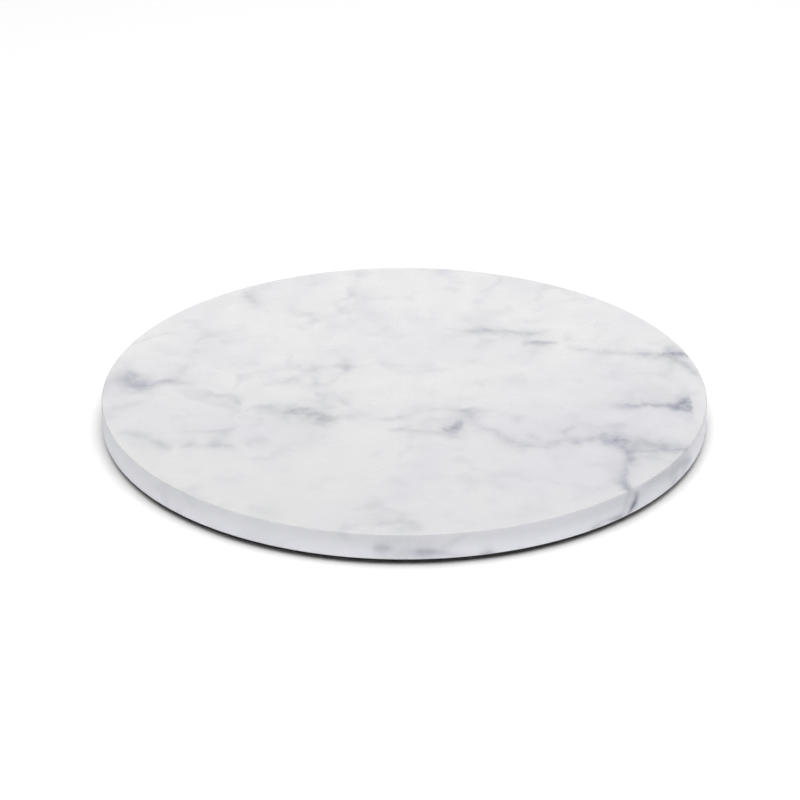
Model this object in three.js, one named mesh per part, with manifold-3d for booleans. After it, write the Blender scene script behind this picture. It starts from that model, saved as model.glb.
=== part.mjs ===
// A round marble turntable on a low ring bearing. Millimetres, +Z up.
// The origin is on the supporting surface, on the axis that the top turns about.

import * as THREE from "three";
import { mergeVertices } from "three/addons/utils/BufferGeometryUtils.js";
import Module from "manifold-3d";

const wasm = await Module();
wasm.setup();

// Stone top
const TOP_DIAMETER = 300;
const TOP_THICKNESS = 13;
const TOP_EDGE_RADIUS = 0.8;
const LOWER_EDGE_RADIUS = 0.6;
const POCKET_DEPTH = 6.7;
const POCKET_CLEARANCE = 2;

// Ring bearing
const BALL_CIRCLE = 136;
const BALL_DIAMETER = 4;
const BALL_COUNT = 24;
const BALL_PLAY = 0.25;
const RACE_SPACE = 2;
const RACE_LAND = 0.4;
const RING_STEP = 0.9;
const INNER_RING_WIDTH = 9;
const RING_CHAMFER = 0.4;

// Ball cage: a band with round pockets that are open at the top, so that it snaps over the balls
const CAGE_CLEARANCE = 0.4;
const CAGE_POCKET_PLAY = 0.25;
const CAGE_WEB = 0.9;
const CAGE_RISE = 1.3;

// Adhesive between the inner ring and the stone
const BOND_THICKNESS = 0.6;
const BOND_INSET = 0.6;

// Feet and their screws
const FOOT_COUNT = 6;
const FOOT_DIAMETER = 10;
const FOOT_STANDOFF = 2;
const FOOT_SEAT_DEPTH = 0.8;
const FOOT_SIDE_GAP = 0.3;
const FOOT_SIDE_WALL = 0.7;
const FOOT_CHAMFER = 0.4;
const SCREW_DIAMETER = 2.6;
const SCREW_LENGTH = 4.3;
const SCREW_HEAD_DIAMETER = 5.2;
const SCREW_HEAD_HEIGHT = 1.3;
const SCREW_HEAD_RECESS = 0.6;
const SCREW_HEAD_CHAMFER = 0.3;
const SCREW_CLEARANCE = 0.3;
const SCREW_HOLE_SPARE = 0.4;
const CROSS_SLOT_WIDTH = 0.6;
const CROSS_SLOT_LENGTH = 2.8;
const CROSS_SLOT_DEPTH = 0.7;

// Plug in the hole that the balls go in through
const LOADING_HOLE_PLAY = 0.4;
const PLUG_CLEARANCE = 0.25;
const PLUG_RECESS = 0.3;
const PLUG_SOCKET_DIAMETER = 2.2;
const PLUG_SOCKET_DEPTH = 1.5;

// Facets
const TOP_SEGMENTS = 96;
const RING_SEGMENTS = 72;
const EDGE_STEPS = 2;
const GROOVE_STEPS = 5;
const FOOT_SEGMENTS = 16;
const SCREW_SEGMENTS = 10;
const POCKET_SEGMENTS = 12;
const BALL_WIDTH_SEGMENTS = 10;
const BALL_HEIGHT_SEGMENTS = 6;
const OVERCUT = 1; // how far a cutting body runs past the faces that it opens

// Radii of the bearing
const ballRadius = BALL_DIAMETER / 2;
const pitchRadius = BALL_CIRCLE / 2;
const grooveRadius = ballRadius + BALL_PLAY;
const innerRingOuter = pitchRadius - RACE_SPACE / 2;
const innerRingInner = innerRingOuter - INNER_RING_WIDTH;
const outerRingInner = pitchRadius + RACE_SPACE / 2;
const footSeatRadius = FOOT_DIAMETER / 2 + FOOT_SIDE_GAP;
const footCircleRadius = outerRingInner + FOOT_SIDE_WALL + footSeatRadius;
const outerRingOuter = footCircleRadius + footSeatRadius + FOOT_SIDE_WALL;

// Heights, from the supporting surface up
const outerRingBottom = FOOT_STANDOFF;
const innerRingBottom = outerRingBottom + RING_STEP;
const outerRingTop = innerRingBottom + 2 * (grooveRadius + RACE_LAND);
const innerRingTop = outerRingTop + RING_STEP;
const ballHeight = (innerRingBottom + outerRingTop) / 2;
const pocketTop = innerRingTop + BOND_THICKNESS;
const stoneBottom = pocketTop - POCKET_DEPTH;
const stoneTop = stoneBottom + TOP_THICKNESS;
const footTop = FOOT_STANDOFF + FOOT_SEAT_DEPTH;
const screwHeadBottom = SCREW_HEAD_RECESS;
const screwHeadTop = screwHeadBottom + SCREW_HEAD_HEIGHT;
const screwTip = screwHeadTop + SCREW_LENGTH;

const marble = new THREE.MeshStandardMaterial({ color: 0xe3e3e6, roughness: 0.35, metalness: 0 });
const adhesive = new THREE.MeshStandardMaterial({ color: 0xb9b6a9, roughness: 0.6, metalness: 0 });
const aluminium = new THREE.MeshStandardMaterial({ color: 0xc6c8ca, roughness: 0.4, metalness: 1 });
const nylon = new THREE.MeshStandardMaterial({ color: 0xe9e5d8, roughness: 0.5, metalness: 0 });
const steel = new THREE.MeshStandardMaterial({ color: 0xc4c7cb, roughness: 0.12, metalness: 1 });
const zincSteel = new THREE.MeshStandardMaterial({ color: 0xb9bbc0, roughness: 0.35, metalness: 1 });
const rubber = new THREE.MeshStandardMaterial({ color: 0x2b2b2c, roughness: 0.85, metalness: 0 });

const point = (x, y) => new THREE.Vector2(x, y);

// Points of an arc about (x, y), from one angle to another, both ends included.
function arc(x, y, radius, from, to, steps) {
  const points = [];
  for (let i = 0; i <= steps; i += 1) {
    const angle = from + ((to - from) * i) / steps;
    points.push(point(x + radius * Math.cos(angle), y + radius * Math.sin(angle)));
  }
  return points;
}

// Turns a profile of (radius, height) points about the Z axis. The profile runs anticlockwise,
// and is either closed or starts and ends on the axis.
function turned(profile, segments) {
  const geometry = new THREE.LatheGeometry(profile, segments);
  geometry.rotateX(Math.PI / 2);
  return geometry;
}

const closed = (profile) => [...profile, profile[0].clone()];

function named(name, geometry, material) {
  const mesh = new THREE.Mesh(geometry, material);
  mesh.name = name;
  return mesh;
}

function merged(geometry) {
  const plain = geometry.clone();
  plain.deleteAttribute("normal");
  plain.deleteAttribute("uv");
  return mergeVertices(plain, 1e-4);
}

function toSolid(geometry) {
  const plain = merged(geometry);
  return new wasm.Manifold(
    new wasm.Mesh({
      numProp: 3,
      vertProperties: new Float32Array(plain.attributes.position.array),
      triVerts: new Uint32Array(plain.index.array),
    }),
  );
}

function toGeometry(solid) {
  const mesh = solid.getMesh();
  const geometry = new THREE.BufferGeometry();
  geometry.setAttribute("position", new THREE.BufferAttribute(mesh.vertProperties, 3));
  geometry.setIndex(new THREE.BufferAttribute(mesh.triVerts, 1));
  geometry.computeVertexNormals();
  return geometry;
}

function cut(geometry, cutters) {
  return toGeometry(cutters.reduce((solid, cutter) => solid.subtract(toSolid(cutter)), toSolid(geometry)));
}

// A cylinder that stands along Z between two heights.
function upright(radius, bottom, top, segments) {
  const geometry = new THREE.CylinderGeometry(radius, radius, top - bottom, segments);
  geometry.rotateX(Math.PI / 2);
  geometry.translate(0, 0, (bottom + top) / 2);
  return geometry;
}

// A cylinder that lies along a radius of the bearing, at the height of the balls.
function radial(radius, inner, outer, angle, segments) {
  const geometry = new THREE.CylinderGeometry(radius, radius, outer - inner, segments);
  geometry.rotateZ(Math.PI / 2);
  geometry.translate((inner + outer) / 2, 0, ballHeight);
  geometry.rotateZ(angle);
  return geometry;
}

function ringPoint(radius, angle) {
  return [radius * Math.cos(angle), radius * Math.sin(angle)];
}

const footAngle = (i) => (2 * Math.PI * i) / FOOT_COUNT;
const ballAngle = (i) => (2 * Math.PI * (i + 0.5)) / BALL_COUNT;
const plugAngle = Math.PI / FOOT_COUNT;

// The slab: a disc with small rounded edges and a round pocket in its underside.
function marbleTop() {
  const radius = TOP_DIAMETER / 2;
  const pocketRadius = outerRingOuter + POCKET_CLEARANCE;
  const lower = LOWER_EDGE_RADIUS;
  const upper = TOP_EDGE_RADIUS;
  const profile = [
    point(0, pocketTop),
    point(pocketRadius, pocketTop),
    point(pocketRadius, stoneBottom),
    ...arc(radius - lower, stoneBottom + lower, lower, -Math.PI / 2, 0, EDGE_STEPS),
    ...arc(radius - upper, stoneTop - upper, upper, 0, Math.PI / 2, EDGE_STEPS),
    point(0, stoneTop),
  ];
  return named("marble_top", turned(profile, TOP_SEGMENTS), marble);
}

function bondRing() {
  const inner = innerRingInner + BOND_INSET;
  const outer = innerRingOuter - BOND_INSET;
  const profile = [
    point(inner, innerRingTop),
    point(outer, innerRingTop),
    point(outer, pocketTop),
    point(inner, pocketTop),
  ];
  return named("bond_ring", turned(closed(profile), RING_SEGMENTS), adhesive);
}

// The angle at which the groove's arc meets the face that it is cut into.
const grooveMouth = Math.acos(RACE_SPACE / 2 / grooveRadius);

function innerRing() {
  const profile = [
    point(innerRingInner + RING_CHAMFER, innerRingBottom),
    point(innerRingOuter - RING_CHAMFER / 2, innerRingBottom),
    point(innerRingOuter, innerRingBottom + RING_CHAMFER / 2),
    ...arc(pitchRadius, ballHeight, grooveRadius, Math.PI + grooveMouth, Math.PI - grooveMouth, GROOVE_STEPS),
    point(innerRingOuter, innerRingTop - RING_CHAMFER),
    point(innerRingOuter - RING_CHAMFER, innerRingTop),
    point(innerRingInner, innerRingTop),
    point(innerRingInner, innerRingBottom + RING_CHAMFER),
  ];
  return named("inner_ring", turned(closed(profile), RING_SEGMENTS), aluminium);
}

// Seats and blind holes for the feet, and the hole that the balls go in through.
function outerRingCutters() {
  const cutters = [];
  for (let i = 0; i < FOOT_COUNT; i += 1) {
    const holeRadius = SCREW_DIAMETER / 2 + SCREW_CLEARANCE;
    const seat = upright(footSeatRadius, outerRingBottom - OVERCUT, footTop, FOOT_SEGMENTS);
    const hole = upright(holeRadius, footTop - OVERCUT / 2, screwTip + SCREW_HOLE_SPARE, SCREW_SEGMENTS);
    for (const cutter of [seat, hole]) {
      cutter.translate(...ringPoint(footCircleRadius, footAngle(i)), 0);
      cutters.push(cutter);
    }
  }
  const holeRadius = (BALL_DIAMETER + LOADING_HOLE_PLAY) / 2;
  cutters.push(radial(holeRadius, pitchRadius, outerRingOuter + OVERCUT, plugAngle, POCKET_SEGMENTS));
  return cutters;
}

function outerRing() {
  const profile = [
    point(outerRingInner + RING_CHAMFER, outerRingBottom),
    point(outerRingOuter - RING_CHAMFER, outerRingBottom),
    point(outerRingOuter, outerRingBottom + RING_CHAMFER),
    point(outerRingOuter, outerRingTop - RING_CHAMFER),
    point(outerRingOuter - RING_CHAMFER, outerRingTop),
    point(outerRingInner + RING_CHAMFER / 2, outerRingTop),
    point(outerRingInner, outerRingTop - RING_CHAMFER / 2),
    ...arc(pitchRadius, ballHeight, grooveRadius, grooveMouth, -grooveMouth, GROOVE_STEPS),
    point(outerRingInner, outerRingBottom + RING_CHAMFER),
  ];
  const ring = turned(closed(profile), RING_SEGMENTS);
  return named("outer_ring", cut(ring, outerRingCutters()), aluminium);
}

function ballCage() {
  const inner = innerRingOuter + CAGE_CLEARANCE;
  const outer = outerRingInner - CAGE_CLEARANCE;
  const pocketRadius = ballRadius + CAGE_POCKET_PLAY;
  const bottom = ballHeight - pocketRadius - CAGE_WEB;
  const top = ballHeight + CAGE_RISE;
  const band = turned(
    closed([point(inner, bottom), point(outer, bottom), point(outer, top), point(inner, top)]),
    RING_SEGMENTS,
  );
  const pockets = [];
  for (let i = 0; i < BALL_COUNT; i += 1) {
    pockets.push(radial(pocketRadius, inner - OVERCUT, outer + OVERCUT, ballAngle(i), POCKET_SEGMENTS));
  }
  return named("ball_cage", cut(band, pockets), nylon);
}

function balls() {
  const shape = new THREE.SphereGeometry(ballRadius, BALL_WIDTH_SEGMENTS, BALL_HEIGHT_SEGMENTS);
  const group = new THREE.Group();
  for (let i = 0; i < BALL_COUNT; i += 1) {
    const ball = named(`ball_${String(i + 1).padStart(2, "0")}`, shape, steel);
    ball.position.set(...ringPoint(pitchRadius, ballAngle(i)), ballHeight);
    ball.rotation.z = ballAngle(i);
    group.add(ball);
  }
  return group;
}

// A set screw with a hexagon socket, wholly inside the loading hole.
function loadingPlug() {
  const radius = (BALL_DIAMETER + LOADING_HOLE_PLAY) / 2 - PLUG_CLEARANCE;
  const inner = pitchRadius + grooveRadius + PLUG_RECESS;
  const outer = outerRingOuter - PLUG_RECESS;
  const body = radial(radius, inner, outer, plugAngle, SCREW_SEGMENTS);
  const socketInner = outer - PLUG_SOCKET_DEPTH;
  const socket = radial(PLUG_SOCKET_DIAMETER / 2, socketInner, outer + OVERCUT, plugAngle, 6);
  return named("loading_plug", cut(body, [socket]), zincSteel);
}

// A rubber disc with a stepped hole: the wide part takes the screw's head, the narrow part its shank.
function footShape() {
  const radius = FOOT_DIAMETER / 2;
  const headHole = SCREW_HEAD_DIAMETER / 2 + SCREW_CLEARANCE;
  const shankHole = SCREW_DIAMETER / 2 + SCREW_CLEARANCE;
  const profile = [
    point(headHole, 0),
    point(radius - FOOT_CHAMFER, 0),
    point(radius, FOOT_CHAMFER),
    point(radius, footTop),
    point(shankHole, footTop),
    point(shankHole, screwHeadTop),
    point(headHole, screwHeadTop),
  ];
  return turned(closed(profile), FOOT_SEGMENTS);
}

// A pan head that faces down, with a cross recess, and a plain shank above it.
function screwShape() {
  const head = SCREW_HEAD_DIAMETER / 2;
  const shank = SCREW_DIAMETER / 2;
  const profile = [
    point(0, screwHeadBottom),
    point(head - SCREW_HEAD_CHAMFER, screwHeadBottom),
    point(head, screwHeadBottom + SCREW_HEAD_CHAMFER),
    point(head, screwHeadTop),
    point(shank, screwHeadTop),
    point(shank, screwTip),
    point(0, screwTip),
  ];
  const slots = [0, Math.PI / 2].map((angle) => {
    const slot = new THREE.BoxGeometry(CROSS_SLOT_LENGTH, CROSS_SLOT_WIDTH, 2 * CROSS_SLOT_DEPTH);
    slot.rotateZ(angle);
    slot.translate(0, 0, screwHeadBottom);
    return slot;
  });
  return cut(turned(profile, SCREW_SEGMENTS), slots);
}

function repeatedAtFeet(name, shape, material) {
  const group = new THREE.Group();
  for (let i = 0; i < FOOT_COUNT; i += 1) {
    const piece = named(`${name}_${i + 1}`, shape, material);
    piece.position.set(...ringPoint(footCircleRadius, footAngle(i)), 0);
    piece.rotation.z = footAngle(i);
    group.add(piece);
  }
  return group;
}

const base = new THREE.Group();
base.add(
  outerRing(),
  loadingPlug(),
  repeatedAtFeet("rubber_foot", footShape(), rubber),
  repeatedAtFeet("foot_screw", screwShape(), zincSteel),
);

const ballTrain = new THREE.Group();
ballTrain.add(ballCage(), balls());

const turntable = new THREE.Group();
turntable.add(marbleTop(), bondRing(), innerRing());

const lazySusan = new THREE.Group();
lazySusan.add(base, ballTrain, turntable);

export default lazySusan;
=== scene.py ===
"""A round marble turntable on a low ring bearing: its looks, its stage, its lights and its camera."""

import math
import random

import bmesh
import bpy
from mathutils import Euler, Matrix, Vector, noise


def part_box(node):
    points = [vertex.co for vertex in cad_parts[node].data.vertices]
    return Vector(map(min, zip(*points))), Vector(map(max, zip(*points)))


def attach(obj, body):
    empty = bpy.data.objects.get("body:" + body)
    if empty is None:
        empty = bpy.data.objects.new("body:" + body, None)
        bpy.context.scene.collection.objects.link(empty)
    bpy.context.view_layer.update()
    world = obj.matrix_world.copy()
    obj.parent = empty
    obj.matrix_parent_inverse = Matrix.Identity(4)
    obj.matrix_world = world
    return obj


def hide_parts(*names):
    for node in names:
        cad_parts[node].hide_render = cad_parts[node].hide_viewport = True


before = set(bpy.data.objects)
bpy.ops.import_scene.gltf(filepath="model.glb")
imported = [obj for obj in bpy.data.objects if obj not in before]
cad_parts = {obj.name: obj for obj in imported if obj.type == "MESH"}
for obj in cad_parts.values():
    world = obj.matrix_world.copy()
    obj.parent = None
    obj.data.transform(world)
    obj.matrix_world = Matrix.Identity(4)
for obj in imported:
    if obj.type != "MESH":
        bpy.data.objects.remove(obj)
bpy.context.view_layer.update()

MM = 0.001

# Sizes and places that the frame's boxes give
SLAB_LOW, SLAB_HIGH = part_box("marble_top")
INNER_LOW, INNER_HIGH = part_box("inner_ring")
OUTER_LOW, OUTER_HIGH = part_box("outer_ring")
CAGE_LOW, CAGE_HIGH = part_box("ball_cage")
BOND_LOW, BOND_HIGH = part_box("bond_ring")
FOOT_LOW, FOOT_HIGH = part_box("rubber_foot_1")
SCREW_LOW, SCREW_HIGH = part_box("foot_screw_1")
BALLS = [node for node in sorted(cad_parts) if node.startswith("ball_") and node != "ball_cage"]
BALL_LOW, BALL_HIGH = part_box(BALLS[0])
SLAB_RADIUS = SLAB_HIGH.x
SLAB_TOP = SLAB_HIGH.z
POCKET_TOP = BOND_HIGH.z
BALL_MIDDLE = (BALL_LOW + BALL_HIGH) / 2
BALL_RADIUS = (BALL_HIGH.z - BALL_LOW.z) / 2
PITCH_RADIUS = math.hypot(BALL_MIDDLE.x, BALL_MIDDLE.y)
FOOT_CIRCLE = (FOOT_LOW.x + FOOT_HIGH.x) / 2
FOOT_RADIUS = (FOOT_HIGH.x - FOOT_LOW.x) / 2

# Stone
TOP_EDGE_RADIUS = 0.6 * MM
LOWER_EDGE_RADIUS = 0.6 * MM
POCKET_CLEARANCE = 2 * MM
POCKET_CHAMFER = 0.3 * MM

# Bearing
RACE_HALF_SPACE = 1 * MM
GROOVE_RADIUS = BALL_RADIUS + 0.25 * MM
INNER_RING_WIDTH = 9 * MM
RING_CHAMFER = 0.4 * MM
RING_SOFTENING = 0.12 * MM
RING_SEGMENTS = 288
LOADING_HOLE_RADIUS = BALL_RADIUS + 0.2 * MM
PLUG_RADIUS = LOADING_HOLE_RADIUS - 0.25 * MM
PLUG_GAP = 0.3 * MM
CAGE_POCKET_RADIUS = BALL_RADIUS + 0.25 * MM
CAGE_HALF_WIDTH = 0.6 * MM
CAGE_SOFTENING = 0.25 * MM
BOND_INSET = 0.6 * MM

# Feet and screws
FOOT_COUNT = 6
PLUG_TURN = math.pi / FOOT_COUNT  # the loading hole is halfway between two feet
FOOT_SEAT_RADIUS = FOOT_RADIUS + 0.3 * MM
SCREW_RADIUS = 1.3 * MM
SCREW_HOLE_RADIUS = SCREW_RADIUS + 0.3 * MM
SCREW_HEAD_TOP = 1.9 * MM
SCREW_HEAD_RADIUS = 2.6 * MM
HEAD_HOLE_RADIUS = SCREW_HEAD_RADIUS + 0.3 * MM
SCREW_HOLE_SPARE = 0.4 * MM

# Camera
VIEW_ELEVATION = math.radians(26.1)
VIEW_DISTANCE = 10 * SLAB_RADIUS
LENS = 135.7
SENSOR_WIDTH = 36
AIM_RIGHT = -2.1 * MM
AIM_UP = -5.4 * MM

# Stage, in metres
FLOOR_SIZE = 40
SWEEP_START = 0.35
SWEEP_END = 1.5

# The stone's pattern. Each vein is a row of (x, y, half width, darkness): millimetres on the top face, and
# darkness from 0 for clear stone to 1. It fades out at its two ends.
BLUE_GREY_VEINS = (
    # left edge
    ((-142, 32, 3, 0), (-139, 21, 3.5, 0.26), (-137, 12, 5.4, 0.46), (-136, 5, 6.4, 0.38),
     (-136, -1, 6, 0.27), (-139, -9, 5, 0)),
    ((-138, 3, 3, 0), (-128, 3, 3, 0.4), (-123, 6, 2.6, 0.3), (-117, 9, 3, 0.36), (-111, 8, 3.4, 0.24),
     (-102, 5, 2, 0)),
    ((-113, 8, 3, 0), (-111, 24, 2.6, 0.15), (-105, 38, 2.4, 0)),
    ((-148, -24, 2.4, 0), (-142, -22, 2.8, 0.14), (-133, -17, 3, 0.12), (-124, -8, 2.6, 0)),
    # far left
    ((-84, 122, 2.4, 0), (-82.5, 112, 2.8, 0.3), (-80, 105, 2.8, 0.26), (-76, 102, 2.4, 0.14),
     (-72, 98, 2, 0)),
    ((-61, 97, 2.4, 0), (-54, 92, 3, 0.15), (-49, 87, 3, 0.2), (-45, 78, 3, 0)),
    ((-41, 86, 3, 0), (-37, 78, 3.6, 0.15), (-33, 70, 3, 0)),
    ((-108, 66, 2.4, 0), (-99, 62, 3.4, 0.1), (-92, 62, 2.4, 0)),
    # middle left
    ((-100, -2, 1.6, 0), (-94, -6, 2, 0.15), (-87, -8, 2.4, 0.16), (-83, -12, 3, 0.22), (-81, -21, 2, 0)),
    ((-78, -22, 2, 0), (-69, -19, 2.4, 0.26), (-62, -21, 2.6, 0.24), (-57, -25, 5, 0.3),
     (-50, -24, 4.6, 0.42), (-45, -28, 6.4, 0.32), (-40, -34, 6, 0.4), (-35, -36, 5, 0.22),
     (-28, -36, 4, 0)),
    ((-63, 5, 2.4, 0), (-57, 9, 2.6, 0.26), (-51, 15, 2.4, 0.14), (-45, 23, 2.4, 0.28), (-38, 26, 2, 0.2),
     (-31, 29, 2, 0.14), (-25, 34, 2, 0)),
    ((-28, 42, 2.6, 0), (-29, 30, 2.6, 0.2), (-30, 22.5, 2.3, 0.36), (-31, 15, 2, 0)),
    ((-47, 16, 2, 0), (-45, 9, 2.4, 0.24), (-41, 6, 2.2, 0.14), (-36, 11, 2.4, 0.16), (-32, 14, 2, 0)),
    ((-44, 6, 2.4, 0), (-42, -6, 3, 0.16), (-39, -16, 2.4, 0.18), (-35, -28, 2.4, 0)),
    ((-37, -5, 1.8, 0), (-31, -13, 2, 0.17), (-27, -21, 1.6, 0)),
    ((-70, -29, 1.6, 0), (-70, -37, 1.8, 0.15), (-73, -45, 1.6, 0)),
    # near left
    ((-109, -66, 1.6, 0), (-102, -61, 2.8, 0.3), (-97, -63, 2, 0.2), (-91, -61, 3, 0.34),
     (-86, -62, 2.4, 0.26), (-79, -62, 1.8, 0)),
    ((-112, -46, 1.2, 0), (-99, -46, 1.4, 0.2), (-88, -45, 1.4, 0.22), (-79, -40, 1.8, 0)),
    ((-79, -62, 3, 0), (-73, -58, 3.6, 0.2), (-66, -52, 3, 0)),
    # middle
    ((-20, -33, 1.4, 0), (-11, -32, 1.8, 0.16), (-4, -31, 2, 0.24), (3, -29, 2.4, 0.16),
     (9, -25, 1.8, 0.14), (18, -23, 1.5, 0.16), (28, -23, 1.5, 0.15), (38, -24, 1.8, 0.16),
     (48, -24, 1.4, 0)),
    ((-9, -45, 1.6, 0), (-1, -45, 2.2, 0.32), (8, -47, 1.8, 0.22), (16, -47, 2, 0.2), (24, -43, 4, 0.52),
     (30, -38, 3, 0)),
    ((31, -20, 3, 0), (32, -27, 4, 0.38), (34, -32, 4, 0.3), (36, -38, 3, 0.22), (40, -43, 2.2, 0.24),
     (46, -48, 2, 0.26), (50, -55, 2.6, 0.22), (53, -62, 3, 0.16), (60, -70, 2, 0)),
    ((15, -30, 2, 0), (16, -34, 2, 0.14), (18, -41, 2, 0)),
    ((29, -30, 3, 0), (27, -37, 3.4, 0.22), (24, -46, 3.2, 0.3), (23, -54, 2.6, 0)),
    ((50, -62.5, 1.2, 0), (58, -63, 1.2, 0.18), (66, -64, 1.2, 0.2), (75, -64, 1, 0)),
    ((60, -28, 2, 0), (57, -32, 2.6, 0.16), (55, -41, 1.6, 0)),
    ((58, -47, 2, 0), (62, -52, 2.6, 0.16), (66, -56, 2, 0)),
    # near right
    ((67, -64, 3, 0), (73, -59, 3.6, 0.24), (78, -56, 3, 0.26), (83, -58, 3.2, 0.48), (88, -56, 2.6, 0.34),
     (94, -53, 4, 0.42), (99, -54.5, 5, 0.66), (104, -54, 5, 0.64), (110, -56, 4, 0.36),
     (119, -58, 4, 0.22), (130, -60, 4, 0.16), (142, -64, 3, 0)),
    ((101, -72, 2, 0), (109, -67.5, 2.2, 0.22), (118, -66, 2.4, 0.3), (126, -64.5, 3.2, 0.46),
     (134, -65, 3.4, 0.36), (148, -66, 3, 0)),
    ((74, -60, 2, 0), (78, -50, 1.8, 0.18), (82, -42, 2.2, 0.16), (92, -38, 2.4, 0.12), (99, -46, 3, 0)),
    ((103, -50, 3, 0), (105, -60, 2.8, 0.5), (106.5, -68, 2.1, 0.44), (106.5, -77, 2.3, 0.54),
     (105, -86, 2.3, 0.54), (103.5, -95, 2.1, 0.52), (103.5, -101, 2.2, 0.55), (104.6, -105.5, 2.4, 0.55),
     (105.4, -109, 2.2, 0.1), (106, -111, 2, 0)),
    # right edge
    ((101, -19, 2, 0), (108, -19, 2.6, 0.42), (115, -18, 2.6, 0.56), (122, -17.5, 2.5, 0.5),
     (129, -18, 3.2, 0.6), (135, -18.5, 5.2, 0.88), (140, -18, 6.6, 0.94), (142, -17.5, 5.6, 0.16),
     (146, -16, 4, 0)),
    # far right
    ((22, 69, 1.6, 0), (33, 68, 2, 0.16), (41, 69, 2.4, 0.38), (49, 69, 1.8, 0.26), (56, 68.5, 2, 0.24),
     (62, 67, 3, 0.32), (68, 67, 2.6, 0.28), (76, 71, 1.4, 0)),
    ((59, 56, 2.6, 0), (66, 54.5, 2.8, 0.44), (71, 54, 3, 0.5), (78, 51, 2.6, 0)),
    ((80, 47, 1.2, 0), (91, 46, 1.4, 0.2), (98, 43.5, 2.8, 0.32), (104, 43, 2.8, 0.24),
     (113, 43, 2.4, 0.22), (121, 41, 2.8, 0.34), (128, 41, 2.6, 0.3), (134, 43, 4.6, 0.85),
     (138, 41, 4, 0.72), (144, 37, 2.4, 0)),
    ((134, 44, 3, 0), (137, 34, 2.2, 0.34), (141, 27, 2.2, 0.4), (145, 20, 2, 0.36), (149, 8, 2, 0)),
    # near edge
    ((-18, -146, 2.4, 0), (-10, -139, 3, 0.17), (-3, -137, 3, 0.16), (5, -141, 3, 0.18),
     (10, -150, 2.6, 0)),
    ((-13, -111, 3, 0), (-14, -119, 3, 0.13), (-17, -129, 3, 0)),
    ((52, -118, 4, 0), (57, -125, 5, 0.1), (66, -134, 4, 0)),
)
GREEN_GREY_VEINS = (
    ((-77, -25, 5, 0), (-68, -24, 6, 0.16), (-57, -29, 6, 0.3), (-47, -29, 7, 0.26), (-38, -32, 6, 0.26),
     (-30, -38, 5, 0)),
    ((-138, -46, 3, 0), (-131, -49, 3.4, 0.26), (-126, -51, 3, 0.28), (-121, -56, 3.4, 0.32),
     (-116, -61, 2.6, 0.4), (-110, -66, 2, 0)),
    ((-89, -43, 3, 0), (-89, -52, 3, 0.22), (-91, -58, 4, 0.26), (-93, -68, 4, 0)),
    ((-84, -3, 3, 0), (-83, -12, 3.4, 0.14), (-84, -22, 2.4, 0)),
    ((103, -62, 4, 0), (113, -60, 5, 0.26), (122, -58, 6, 0.2), (134, -58, 4, 0)),
    ((104, -76, 4, 0), (114, -74, 6, 0.16), (124, -76, 6, 0.16), (134, -74, 4, 0)),
    ((46, -50, 3, 0), (56, -59, 4, 0.16), (66, -60, 4, 0.14), (76, -58, 3, 0)),
    ((28, 66, 3, 0), (36, 67, 4, 0.16), (46, 66, 4, 0.1), (60, 65, 4, 0.14), (72, 62, 3, 0)),
    ((112, 40, 3, 0), (120, 38, 4, 0.14), (131, 36, 4, 0.2), (137, 30, 3, 0)),
    ((-72, -120, 4, 0), (-66, -124, 5, 0.12), (-58, -131, 5, 0.1), (-50, -137, 4, 0)),
    ((-4, -140, 4, 0), (1, -144, 5, 0.2), (6, -150, 4, 0)),
    ((60, -40, 5, 0), (76, -45, 6, 0.1), (90, -44, 6, 0.12), (100, -40, 5, 0)),
)
LAVENDER_CLOUDS = (
    ((6, -34, 12, 0), (50, -44, 22, 0.55), (90, -40, 26, 0.7), (125, -38, 24, 0.6), (152, -30, 18, 0)),
    ((20, -58, 10, 0), (9, -88, 9, 0.8), (-6, -122, 12, 0.5), (-18, -150, 12, 0)),
    ((34, -100, 16, 0), (70, -92, 20, 0.75), (100, -88, 20, 0.6), (128, -72, 16, 0)),
    ((98, 52, 10, 0), (102, 26, 13, 0.5), (112, 2, 14, 0.5), (120, -18, 10, 0)),
    ((-150, -34, 16, 0), (-112, -36, 18, 0.45), (-74, -46, 16, 0.6), (-24, -58, 10, 0)),
    ((-150, 24, 12, 0), (-145, 6, 10, 0.6), (-142, -24, 10, 0)),
    ((-24, 128, 7, 0), (-21, 98, 7, 0.6), (-9, 72, 7, 0.5), (-5, 48, 7, 0)),
    ((-44, -148, 10, 0), (-30, -134, 10, 0.5), (-14, -128, 9, 0)),
)
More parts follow.
